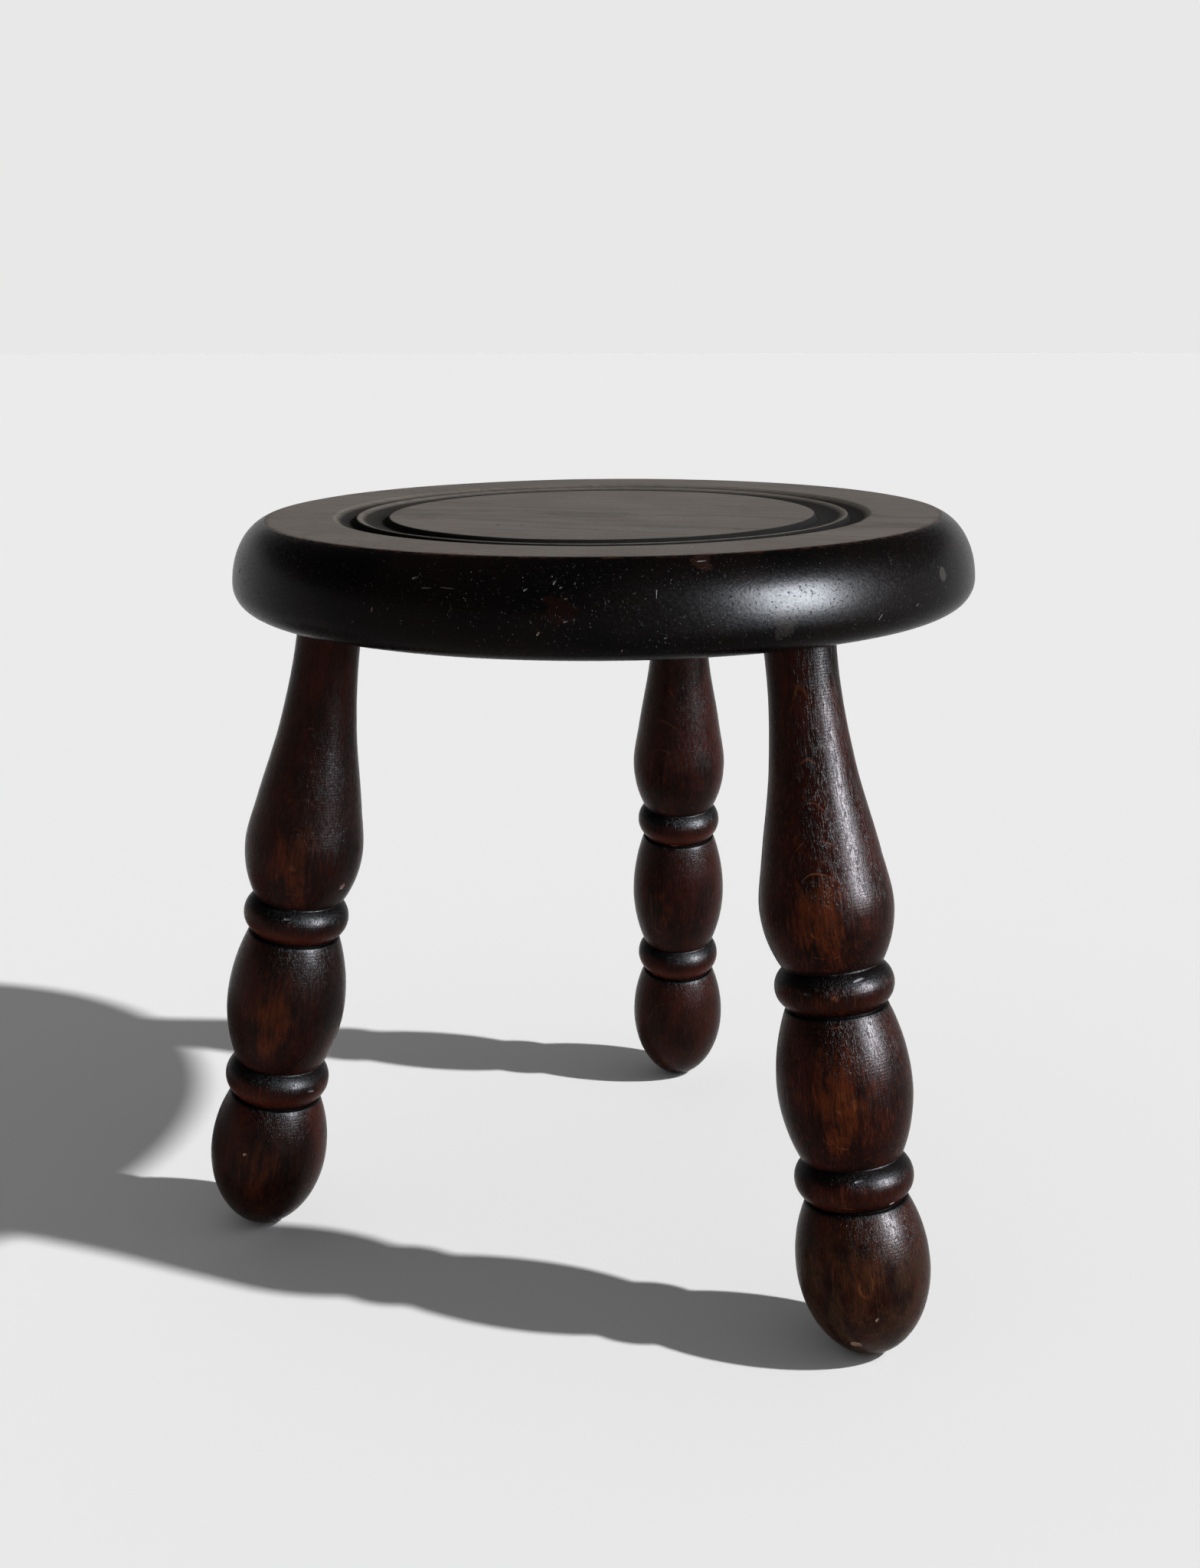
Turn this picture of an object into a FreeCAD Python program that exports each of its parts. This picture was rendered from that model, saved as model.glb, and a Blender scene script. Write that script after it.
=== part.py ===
import FreeCAD, Part
import math
import os

os.makedirs("parts", exist_ok=True)

# Millimetres and degrees. The origin is on the floor under the seat's axis, and +Z is up.

# The seat: one thick board, turned on a faceplate
seat_height = 306.0
seat_radius = 150.0
seat_thickness = 35.0

# Its edge swells to the widest line and turns in again to a flat underside.
# The upper curve rises more than the edge is deep, which leaves a crease at the flat top.
edge_depth = 24.5
edge_reach = 17.2
edge_rise = 25.0

# The two ring grooves in its top: each slopes gently inwards to a steep wall
groove_radius = 109.0
ridge_radius = 100.0
disc_radius = 87.0
groove_depth = 3.0
groove_sag = 0.45
ridge_drop = 0.4
disc_drop = 0.6
wall_draft = 0.6
lip_round = 0.9

# Where the legs enter the underside: how far their circle lies inside the widest line
socket_inset = 39.5
splay_angle = 8.3
# Each leg's angle round the seat
left_angle = 210.0
right_angle = 330.0
back_angle = 90.0
# How far each socket was bored off the radial plane
left_lean_angle = -3.5
right_lean_angle = 0.6
back_lean_angle = 2.8
# Each leg's girth as a share of the radii below: the back one was turned slimmer
left_girth_share = 0.98
right_girth_share = 1.0
back_girth_share = 0.88

# The leg's turning, from the seat down: neck, vase, ring, barrel, ring, egg-shaped foot.
# The neck takes up the height that the rest leaves.
neck_radius = 13.3
vase_radius = 24.9
vase_base_length = 21.8
ring_radius = 22.3
ring_length = 15.2
quirk_width = 0.9
quirk_radius = 18.0
bulge_end_radius = 19.2
barrel_radius = 25.2
barrel_length = 56.6
egg_radius = 25.1
egg_top_length = 24.7
egg_base_length = 35.0
# How far the neck's profile leans in from the axis's direction at the seat
flare_angle = 3.0
# How much of the egg's round end is worn and levelled away
foot_wear = 0.65

# The neck's swell: share of its length, and share of the way from neck to vase radius
neck_shares = ((0.0, 0.03), (0.16, 0.0), (0.49, 0.23), (0.82, 0.76), (1.0, 1.0))
barrel_widest_share = 0.53

# The hidden joint: a round tenon in a blind socket, spread by a wedge in its saw kerf
tenon_radius = 11.0
tenon_length = 22.0
tenon_chamfer = 1.5
glue_line = 0.1
socket_end_gap = 0.3
kerf_depth = 16.0
kerf_mouth = 3.2
kerf_root = 1.0
wedge_length = 13.0

# Blanks and cutters run this much past what they meet
overrun = 3.0

full_turn = 360.0
quarter_turn = 90.0
up = FreeCAD.Vector(0, 0, 1)
grain = FreeCAD.Vector(1, 0, 0)
origin = FreeCAD.Vector(0, 0, 0)
underside = seat_height - seat_thickness


def point(radius, height):
    return FreeCAD.Vector(radius, 0, height)


def line(start, end):
    return Part.makeLine(start, end)


def arc(start, middle, end):
    return Part.Arc(start, middle, end).toShape()


def arc_about(centre, radius, first, last):
    """An arc of the half-section, between two angles measured from straight outwards."""
    angles = [math.radians(angle) for angle in (first, (first + last) / 2, last)]
    return arc(*[centre + point(radius * math.cos(a), radius * math.sin(a)) for a in angles])


def bulge(widest, end):
    """The arc from a bulge's widest point, where it runs along the axis, to its end."""
    sag = widest.x - end.x
    run = end.z - widest.z
    radius = (run ** 2 + sag ** 2) / (2 * sag)
    return arc_about(widest - point(radius, 0), radius, 0, math.degrees(math.asin(run / radius)))


def spline(points, first, last):
    """A curve down through points, which leans in at its ends by two angles from straight down."""
    tangents = [point(-math.sin(math.radians(lean)), -math.cos(math.radians(lean))) for lean in (first, last)]
    curve = Part.BSplineCurve()
    curve.interpolate(Points=points, InitialTangent=tangents[0], FinalTangent=tangents[1])
    return curve.toShape()


def turned(edges):
    """The solid turned about +Z from the edges of its half-section."""
    section = Part.Face(Part.Wire(edges))
    return section.revolve(origin, up, full_turn)


def polygon(*corners):
    return Part.Face(Part.makePolygon([*corners, corners[0]]))


# Seat

def seat_blank():
    """The seat as it leaves the faceplate, before its sockets are bored."""
    edges = []
    start = point(0, seat_height - disc_drop)
    # disc, then ridge: its top, its rounded lip and the steep wall down from it
    for radius, top in ((disc_radius, seat_height - disc_drop), (ridge_radius, seat_height - ridge_drop)):
        lip = point(radius - lip_round, top - lip_round)
        lip_start = lip + point(0, lip_round)
        if edges:
            edges.append(arc(start, (start + lip_start) / 2 - point(0, groove_sag), lip_start))
        else:
            edges.append(line(start, lip_start))
        edges.append(arc_about(lip, lip_round, quarter_turn, 0))
        start = point(radius + wall_draft, seat_height - groove_depth)
        edges.append(line(lip + point(lip_round, 0), start))
    groove_edge = point(groove_radius, seat_height)
    edges.append(arc(start, (start + groove_edge) / 2 - point(0, groove_sag), groove_edge))

    # the flat outer ring, as far as the crease where the edge's curve begins
    widest_height = seat_height - edge_depth
    centre = point(seat_radius - edge_reach, widest_height)
    crease_turn = math.acos(edge_depth / edge_rise)
    crease = centre + point(edge_reach * math.sin(crease_turn), edge_depth)
    edges.append(line(groove_edge, crease))
    swell = Part.Ellipse(centre + point(0, edge_rise), centre + point(edge_reach, 0), centre)
    edges.append(Part.Arc(swell, crease_turn, math.pi / 2).toShape())

    under_round = seat_thickness - edge_depth
    edges.append(arc_about(point(seat_radius - under_round, widest_height), under_round, 0, -quarter_turn))
    edges.append(line(point(seat_radius - under_round, underside), point(0, underside)))
    edges.append(line(point(0, underside), point(0, seat_height - disc_drop)))
    return turned(edges)


def socket_cutter():
    depth = tenon_length + socket_end_gap
    return Part.makeCylinder(tenon_radius + glue_line, depth + overrun, point(0, -overrun), up)


# Leg, in its own frame: the origin where its axis meets the seat's underside, and +Z up the leg

def ring_edges(top, girth):
    """A half-round ring between two quirks, from its top downwards."""
    bulge_end, quirk, ring = [radius * girth for radius in (bulge_end_radius, quirk_radius, ring_radius)]
    ring_top = top - quirk_width
    ring_foot = ring_top - ring_length
    foot = ring_foot - quirk_width
    crown = point(ring, (ring_top + ring_foot) / 2)
    return [
        line(point(bulge_end, top), point(quirk, top)),
        line(point(quirk, top), point(quirk, ring_top)),
        arc(point(quirk, ring_top), crown, point(quirk, ring_foot)),
        line(point(quirk, ring_foot), point(quirk, foot)),
        line(point(quirk, foot), point(bulge_end, foot)),
    ]


def leg_blank(girth):
    """The turned leg without its tenon, longer at both ends than the space it stands in."""
    thinnest, vase, bulge_end, barrel, egg = [
        radius * girth for radius in (neck_radius, vase_radius, bulge_end_radius, barrel_radius, egg_radius)
    ]
    leg_run = underside / math.cos(math.radians(splay_angle)) + foot_wear
    ring_run = ring_length + 2 * quirk_width
    lower_run = vase_base_length + 2 * ring_run + barrel_length + egg_top_length + egg_base_length
    neck_length = leg_run - lower_run

    vase_widest = point(vase, -neck_length)
    vase_end = vase_widest.z - vase_base_length
    barrel_top = vase_end - ring_run
    barrel_end = barrel_top - barrel_length
    barrel_widest = point(barrel, barrel_top - barrel_widest_share * barrel_length)
    egg_top = barrel_end - ring_run
    egg_widest = point(egg, egg_top - egg_top_length)

    neck_points = [point(thinnest + out * (vase - thinnest), -along * neck_length) for along, out in neck_shares]
    head = neck_points[0] + point(0, overrun)
    egg_centre = point(0, egg_widest.z)
    toe = egg_centre - point(0, egg_base_length)
    egg_base = Part.Ellipse(toe, egg_widest, egg_centre)
    return turned([
        line(point(0, head.z), head),
        line(head, neck_points[0]),
        spline(neck_points, flare_angle, 0),
        bulge(vase_widest, point(bulge_end, vase_end)),
        *ring_edges(vase_end, girth),
        bulge(barrel_widest, point(bulge_end, barrel_top)),
        bulge(barrel_widest, point(bulge_end, barrel_end)),
        *ring_edges(barrel_end, girth),
        bulge(egg_widest, point(bulge_end, egg_top)),
        Part.Arc(egg_base, 0, math.pi / 2).toShape(),
        line(toe, point(0, head.z)),
    ])


def tenon():
    """The round tenon, from inside the neck to its chamfered end."""
    corners = [
        point(0, -overrun),
        point(tenon_radius, -overrun),
        point(tenon_radius, tenon_length - tenon_chamfer),
        point(tenon_radius - tenon_chamfer, tenon_length),
        point(0, tenon_length),
    ]
    return polygon(*corners).revolve(origin, up, full_turn)


def kerf_prism(top, bottom):
    """The tapered saw kerf between two heights, right across the tenon."""
    across = FreeCAD.Vector(0, tenon_radius + overrun, 0)
    kerf_foot = tenon_length - kerf_depth
    taper = (kerf_mouth - kerf_root) / kerf_depth
    halves = [(kerf_root + taper * (height - kerf_foot)) / 2 for height in (top, bottom)]
    corners = [point(-halves[0], top), point(halves[0], top), point(halves[1], bottom), point(-halves[1], bottom)]
    return polygon(*[corner - across for corner in corners]).extrude(across * 2)


# Places

def leg_place(angle, lean_angle):
    """A leg's frame in the stool. Its X lies along the seat's grain, so the wedge presses along it."""
    turn, splay, lean = [math.radians(value) for value in (angle, splay_angle, lean_angle)]
    outward = FreeCAD.Vector(math.cos(turn), math.sin(turn), 0)
    sideways = FreeCAD.Vector(-math.sin(turn), math.cos(turn), 0)
    rise = up * math.cos(splay) - outward * math.sin(splay) - sideways * math.sin(lean)
    rotation = FreeCAD.Rotation(grain, rise.cross(grain), rise, "ZXY")
    return FreeCAD.Placement(outward * (seat_radius - socket_inset) + up * underside, rotation)


def placed(shape, place):
    copy = shape.copy()
    copy.Placement = place
    return copy


def export(shape, node):
    shape.Solids[0].exportStep("parts/" + node + ".step")


# The neck is scribed to the underside and the foot is levelled to the floor
legs = {
    "left": (left_angle, left_lean_angle, left_girth_share),
    "right": (right_angle, right_lean_angle, right_girth_share),
    "back": (back_angle, back_lean_angle, back_girth_share),
}
standing_space = Part.makeCylinder(seat_radius * 2, underside)
whole_tenon = tenon()
kerf = kerf_prism(tenon_length + overrun, tenon_length - kerf_depth)
wedge = kerf_prism(tenon_length, tenon_length - wedge_length).common(whole_tenon)

seat = seat_blank()
for name, (angle, lean_angle, girth) in legs.items():
    place = leg_place(angle, lean_angle)
    seat = seat.cut(placed(socket_cutter(), place))
    standing_leg = placed(leg_blank(girth), place).common(standing_space)
    leg = standing_leg.fuse(placed(whole_tenon, place)).cut(placed(kerf, place))
    export(leg, "leg_" + name)
    export(placed(wedge, place), "wedge_" + name)
export(seat, "seat")
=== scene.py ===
import math

import bpy
from mathutils import Matrix, Vector


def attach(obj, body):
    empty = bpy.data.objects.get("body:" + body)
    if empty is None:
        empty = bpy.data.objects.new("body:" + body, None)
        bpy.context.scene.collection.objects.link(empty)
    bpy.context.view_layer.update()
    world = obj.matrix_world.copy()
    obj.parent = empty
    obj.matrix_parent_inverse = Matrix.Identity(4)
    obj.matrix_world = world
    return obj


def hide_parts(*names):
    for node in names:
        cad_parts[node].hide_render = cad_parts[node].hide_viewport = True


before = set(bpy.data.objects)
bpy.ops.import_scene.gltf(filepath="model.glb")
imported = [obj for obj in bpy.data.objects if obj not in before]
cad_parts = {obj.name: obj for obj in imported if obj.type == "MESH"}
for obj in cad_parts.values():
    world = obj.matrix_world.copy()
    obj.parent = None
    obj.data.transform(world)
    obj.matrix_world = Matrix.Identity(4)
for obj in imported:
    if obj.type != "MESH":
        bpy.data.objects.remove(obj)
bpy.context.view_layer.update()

mm = 0.001
root = "root"
smoothBelow = 40  # edges sharper than this, in degrees, stay crisp
mergeWithin = 0.002 * mm
cutWithin = 0.001 * mm  # the operator's own value is 0.1 mm, which tears so fine a mesh


# Working helpers

def cleanSlate():
    if bpy.context.mode != "OBJECT":
        bpy.ops.object.mode_set(mode="OBJECT")
    bpy.ops.object.select_all(action="DESELECT")


def pick(piece):
    cleanSlate()
    piece.select_set(True)
    bpy.context.view_layer.objects.active = piece


def editMode(piece, kind="VERT"):
    pick(piece)
    bpy.ops.object.mode_set(mode="EDIT")
    bpy.ops.mesh.select_mode(type=kind)
    bpy.ops.mesh.select_all(action="DESELECT")


def objectMode():
    bpy.ops.object.mode_set(mode="OBJECT")


def selectParts(piece, kind, test):
    # back in edit mode, only the edges or faces that pass the test are selected
    editMode(piece, kind)
    objectMode()
    for part in piece.data.edges if kind == "EDGE" else piece.data.polygons:
        part.select = test(part)
    bpy.ops.object.mode_set(mode="EDIT")


def applyModifier(piece, kind, **settings):
    pick(piece)
    modifier = piece.modifiers.new(kind.lower(), kind)
    for name, value in settings.items():
        setattr(modifier, name, value)
    bpy.ops.object.modifier_apply(modifier=modifier.name)


def turnOnLathe(name, outline, steps):
    # a ring of vertices laid along the half-section, opened at the axis and spun about it
    cleanSlate()
    bpy.ops.mesh.primitive_circle_add(vertices=len(outline), radius=mm, fill_type="NOTHING")
    piece = bpy.context.object
    piece.name = name
    piece.data.name = name
    for vertex, point in zip(piece.data.vertices, outline):
        vertex.co = point
    selectParts(piece, "EDGE", lambda edge: abs(edge.vertices[0] - edge.vertices[1]) > 1)
    bpy.ops.mesh.delete(type="EDGE")
    bpy.ops.mesh.select_all(action="SELECT")
    bpy.ops.mesh.spin(steps=steps, angle=math.tau, center=(0, 0, 0), axis=(0, 0, 1))
    bpy.ops.mesh.select_all(action="SELECT")
    bpy.ops.mesh.remove_doubles(threshold=mergeWithin)
    bpy.ops.mesh.normals_make_consistent(inside=False)
    objectMode()
    return piece


def at(radius, height):
    return Vector((radius * mm, 0, height * mm))


def arcPoints(centre, radiusOut, radiusUp, first, last, count):
    # an elliptical arc of the half-section, by angle from straight outwards
    points = []
    for i in range(count + 1):
        angle = math.radians(first + (last - first) * i / count)
        points.append(at(centre[0] + radiusOut * math.cos(angle), centre[1] + radiusUp * math.sin(angle)))
    return points


def straightPoints(start, end, count):
    return [start.lerp(end, i / count) for i in range(count + 1)]


def sagPoints(start, end, sag, count):
    # a shallow hollow between two points
    points = []
    for i in range(count + 1):
        share = i / count
        points.append(start.lerp(end, share) - Vector((0, 0, 4 * sag * mm * share * (1 - share))))
    return points


def flowPoints(knots, firstSlope, lastSlope, count):
    # a smooth curve through a few points; slopes are radius over height
    heights = [k[1] for k in knots]
    radii = [k[0] for k in knots]
    slopes = [firstSlope]
    for i in range(1, len(knots) - 1):
        before = (radii[i] - radii[i - 1]) / (heights[i] - heights[i - 1])
        after = (radii[i + 1] - radii[i]) / (heights[i + 1] - heights[i])
        stepBefore = abs(heights[i] - heights[i - 1])
        stepAfter = abs(heights[i + 1] - heights[i])
        slopes.append((before * stepAfter + after * stepBefore) / (stepBefore + stepAfter))
    slopes.append(lastSlope)
    points = []
    for i in range(len(knots) - 1):
        run = heights[i + 1] - heights[i]
        parts = max(2, round(count * abs(run) / abs(heights[-1] - heights[0])))
        for j in range(parts):
            t = j / parts
            radius = (radii[i] * (1 + 2 * t) * (1 - t) ** 2 + slopes[i] * run * t * (1 - t) ** 2
                      + radii[i + 1] * t * t * (3 - 2 * t) + slopes[i + 1] * run * t * t * (t - 1))
            points.append(at(radius, heights[i] + t * run))
    points.append(at(radii[-1], heights[-1]))
    return points


def chain(*runs):
    # joins runs of points and drops those that coincide
    points = []
    for run in runs:
        for point in run:
            if not points or (point - points[-1]).length > 0.01 * mm:
                points.append(point)
    return points


def carve(piece, cutters):
    # takes all the cutters out of a piece in one Boolean
    pick(cutters[0])
    for cutter in cutters:
        cutter.select_set(True)
    if len(cutters) > 1:
        bpy.ops.object.join()
    tool = bpy.context.object
    applyModifier(piece, "BOOLEAN", operation="DIFFERENCE", object=tool, solver="MANIFOLD",
                  material_mode="TRANSFER")
    bpy.data.objects.remove(tool)


def makeNickBall():
    cleanSlate()
    bpy.ops.mesh.primitive_ico_sphere_add(subdivisions=2, radius=1)
    bpy.context.object.name = "nickBall"
    return bpy.context.object


nickBall = makeNickBall()


def gouge(place, outward, along, size, material):
    # a worn little hollow: an uneven, squashed ball sunk in the surface; size is length, width, depth in mm
    tool = nickBall.copy()
    tool.data = nickBall.data.copy()
    bpy.context.scene.collection.objects.link(tool)
    length, width, depth = size
    sideways = outward.cross(along).normalized()
    forward = sideways.cross(outward).normalized()
    turn = Matrix((forward, sideways, outward)).transposed().to_4x4()
    rough = Vector((0.83, 1.19, 1.07))
    for vertex in tool.data.vertices:
        ripple = 1 + 0.18 * math.sin(9 * vertex.co.dot(rough) + length) * math.cos(7 * vertex.co.x - width)
        vertex.co = vertex.co * ripple
    scale = Matrix.Diagonal((length / 2 * mm, width / 2 * mm, depth * mm, 1))
    tool.data.transform(Matrix.Translation(place) @ turn @ scale)
    tool.data.materials.append(material)
    return tool


# Shader helpers

class Signal:
    # a socket that takes part in Python's arithmetic

    def __init__(self, bench, socket):
        self.bench = bench
        self.socket = socket

    def maths(self, operation, *values):
        return self.bench.node("ShaderNodeMath", {"operation": operation}, dict(enumerate(values)))

    def __add__(self, other):
        return self.maths("ADD", self, other)

    __radd__ = __add__

    def __sub__(self, other):
        return self.maths("SUBTRACT", self, other)

    def __rsub__(self, other):
        return self.maths("SUBTRACT", other, self)

    def __mul__(self, other):
        return self.maths("MULTIPLY", self, other)

    __rmul__ = __mul__

    def __truediv__(self, other):
        return self.maths("DIVIDE", self, other)

    def fract(self):
        return self.maths("FRACT", self)

    def sine(self):
        return self.maths("SINE", self)

    def size(self):
        return self.maths("ABSOLUTE", self)

    def atLeast(self, other):
        return self.maths("MAXIMUM", self, other)

    def ramp(self, low, high, first=0.0, last=1.0):
        # a smooth step between two values
        settings = {"interpolation_type": "SMOOTHSTEP", "clamp": True}
        sockets = {"Value": self, "From Min": low, "From Max": high, "To Min": first, "To Max": last}
        return self.bench.node("ShaderNodeMapRange", settings, sockets)

    def bump(self, centre, reach):
        # one at the centre, and nothing further than reach from it
        return 1 - (self - centre).size().ramp(0, reach)


class Bench:
    # one material's nodes

    def __init__(self, name, tree=None):
        self.material = None
        if tree is None:
            self.material = bpy.data.materials.new(name)
            self.material.use_nodes = True
            tree = self.material.node_tree
        self.tree = tree
        self.tree.nodes.clear()

    def node(self, kind, settings=None, sockets=None, output=0):
        made = self.tree.nodes.new(kind)
        for name, value in (settings or {}).items():
            setattr(made, name, value)
        for key, value in (sockets or {}).items():
            target = made.inputs[key]
            if isinstance(value, Signal):
                self.tree.links.new(value.socket, target)
            else:
                target.default_value = value
        return Signal(self, made.outputs[output]) if made.outputs else None

    def also(self, signal, output):
        # another output of the node that a signal comes from
        return Signal(self, signal.socket.node.outputs[output])

    def place(self, origin=(0, 0, 0), turn=(0, 0, 0)):
        # the piece's own coordinates, centred, turned and in millimetres
        raw = self.node("ShaderNodeTexCoord", output="Object")
        return self.node("ShaderNodeMapping", {"vector_type": "TEXTURE"},
                         {"Vector": raw, "Location": origin, "Rotation": turn, "Scale": (mm, mm, mm)})

    def split(self, vector):
        made = self.node("ShaderNodeSeparateXYZ", None, {0: vector})
        outputs = made.socket.node.outputs
        return [Signal(self, outputs[i]) for i in range(3)]

    def vector(self, operation, first, second, output=0):
        return self.node("ShaderNodeVectorMath", {"operation": operation}, {0: first, 1: second}, output)

    def length(self, vector):
        return self.node("ShaderNodeVectorMath", {"operation": "LENGTH"}, {0: vector}, output=1)

    def noise(self, spot, scale, detail=2.0, roughness=0.5, distortion=0.0):
        # scale is in cycles per millimetre along each axis
        sockets = {"Vector": self.vector("MULTIPLY", spot, scale), "Scale": 1.0, "Detail": detail,
                   "Roughness": roughness, "Distortion": distortion}
        return self.node("ShaderNodeTexNoise", None, sockets)

    def blend(self, share, first, second):
        sockets = {"Factor": share, 6: first, 7: second}
        return self.node("ShaderNodeMix", {"data_type": "RGBA"}, sockets, output=2)

    def relief(self, height, depth, strength=1.0):
        sockets = {"Height": height, "Distance": depth * mm, "Strength": strength}
        return self.node("ShaderNodeBump", None, sockets)

    def close(self, shader, kind="ShaderNodeOutputMaterial"):
        self.node(kind, None, {"Surface": shader})
        return self.material

    def finish(self, sockets):
        return self.close(self.node("ShaderNodeBsdfPrincipled", None, sockets))


def tint(red, green, blue):
    # a colour as a paint chart gives it, 0 to 255, made linear for the shader
    linear = []
    for value in (red, green, blue):
        value = value / 255
        linear.append(value / 12.92 if value <= 0.04045 else ((value + 0.055) / 1.055) ** 2.4)
    return (*linear, 1.0)


# Camera: where the photograph was taken from

photograph = {
    "width": 1567,
    "height": 2048,
    "focalPixels": 2409.5,
    "eye": (249.6, -710.1, 391.6),
    "yaw": -20.95,
    "pitch": 10.46,
    "roll": -0.71,
    "centreX": 720.8,
    "centreY": 835.2,
    "film": 36.0,
}


def addCamera():
    yaw = math.radians(photograph["yaw"])
    pitch = math.radians(photograph["pitch"])
    roll = math.radians(photograph["roll"])
    forward = Vector((math.sin(yaw) * math.cos(pitch), math.cos(yaw) * math.cos(pitch), -math.sin(pitch)))
    level = forward.cross(Vector((0, 0, 1))).normalized()
    upright = level.cross(forward)
    right = level * math.cos(roll) + upright * math.sin(roll)
    up = upright * math.cos(roll) - level * math.sin(roll)
    cleanSlate()
    bpy.ops.object.camera_add()
    camera = bpy.context.object
    camera.name = "stoolCamera"
    turn = Matrix((right, up, -forward)).transposed().to_4x4()
    camera.matrix_world = Matrix.Translation(Vector(photograph["eye"]) * mm) @ turn
    longSide = photograph["height"]
    camera.data.sensor_width = photograph["film"]
    camera.data.lens = photograph["focalPixels"] * photograph["film"] / longSide
    camera.data.shift_x = (photograph["width"] / 2 - photograph["centreX"]) / longSide
    camera.data.shift_y = (photograph["centreY"] - photograph["height"] / 2) / longSide
    camera.data.clip_start = 0.01
    camera.data.clip_end = 100
    bpy.context.scene.camera = camera


addCamera()
print("camera placed")


# Studio: a pale floor, a low key lamp and a window on the right, a pale surround

studio = {
    "keyAzimuth": 5.2,
    "keyHeight": 37.4,
    "keyDistance": 3.25,
    "keyPower": 2850.0,  # kept high, and cut again by keyFeather: weaker, it renders with more noise
    "keyFeather": 0.01,
    "keySize": 0.045,
    "lampsAim": 0.15,
    "wall": 0.807,
    "ceiling": 0.06,
    "wallTop": 0.165,
    "ceilingFrom": 0.26,
    "fill": 0.2,
    "floorSize": 24.0,
    "floorTint": (0.9, 0.9, 0.9, 1),
    "windowAzimuth": -13.0,
    "windowHeight": 21.0,
    "windowDistance": 1.65,
    "windowWidth": 0.6,
    "windowTall": 0.7,
    "windowPower": 500.0,
    "windowTint": (0.88, 0.92, 1.0),
}


def direction(azimuth, height):
    a = math.radians(azimuth)
    h = math.radians(height)
    return Vector((math.cos(a) * math.cos(h), math.sin(a) * math.cos(h), math.sin(h)))


def addStudio():
    aim = Vector((0, 0, studio["lampsAim"]))
    cleanSlate()
    bpy.ops.object.light_add(type="POINT")
    key = bpy.context.object
    key.name = "keyLamp"
    key.data.energy = studio["keyPower"]
    key.data.shadow_soft_size = studio["keySize"]
    key.location = direction(studio["keyAzimuth"], studio["keyHeight"]) * studio["keyDistance"] + aim
    key.visible_glossy = False
    # feathered, so that it lights the whole floor evenly
    key.data.use_nodes = True
    bench = Bench("keyFeather", key.data.node_tree)
    far = bench.also(bench.node("ShaderNodeLightPath"), "Ray Length")
    even = bench.node("ShaderNodeLightFalloff", None, {"Strength": 1}, output="Constant")
    strength = even * far * (studio["keyFeather"] / key.location.z)
    glow = bench.node("ShaderNodeEmission", None, {"Strength": strength})
    bench.close(glow, "ShaderNodeOutputLight")

    # the window only shows in the gloss
    bpy.ops.object.light_add(type="AREA")
    window = bpy.context.object
    window.name = "windowSheen"
    window.data.shape = "RECTANGLE"
    window.data.size = studio["windowWidth"]
    window.data.size_y = studio["windowTall"]
    window.data.energy = studio["windowPower"]
    window.data.color = studio["windowTint"]
    towards = direction(studio["windowAzimuth"], studio["windowHeight"])
    turn = towards.to_track_quat("Z", "Y").to_matrix().to_4x4()
    window.matrix_world = Matrix.Translation(towards * studio["windowDistance"] + aim) @ turn
    window.visible_diffuse = False

    # even fill for the surfaces; seen or mirrored, the room is a pale wall under a dim ceiling
    world = bpy.data.worlds.new("paleRoom")
    bpy.context.scene.world = world
    world.use_nodes = True
    bench = Bench("paleRoom", world.node_tree)
    rays = bench.node("ShaderNodeLightPath")
    isCamera, isGlossy, isTransmission = [bench.also(rays, name) for name in
                                          ("Is Camera Ray", "Is Glossy Ray", "Is Transmission Ray")]
    seen = isCamera.atLeast(isGlossy).atLeast(isTransmission)
    height = bench.split(bench.node("ShaderNodeTexCoord", output="Generated"))[2]
    room = height.ramp(studio["wallTop"], studio["ceilingFrom"], studio["wall"], studio["ceiling"])
    strength = seen * room + (1 - seen) * studio["fill"]
    light = bench.node("ShaderNodeBackground", None, {"Color": (1, 1, 1, 1), "Strength": strength})
    bench.close(light, "ShaderNodeOutputWorld")

    cleanSlate()
    bpy.ops.mesh.primitive_plane_add(size=studio["floorSize"])
    floor = bpy.context.object
    floor.name = "paleFloor"
    bench = Bench("floorPaint")
    paint = bench.node("ShaderNodeBsdfDiffuse", None, {"Color": studio["floorTint"]})
    floor.data.materials.append(bench.close(paint))
    bpy.context.scene.view_settings.view_transform = "Standard"


addStudio()
print("studio lit")


# Finishes

def woodLayers(bench, spot, pith, across, spacing, wander):
    # yearly layers about a pith line outside the piece: how far into a layer, 0 to 1
    fromPith = bench.vector("ADD", spot, pith)
    far = bench.length(bench.vector("MULTIPLY", fromPith, across))
    return ((far + wander) / spacing).fract()


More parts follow.
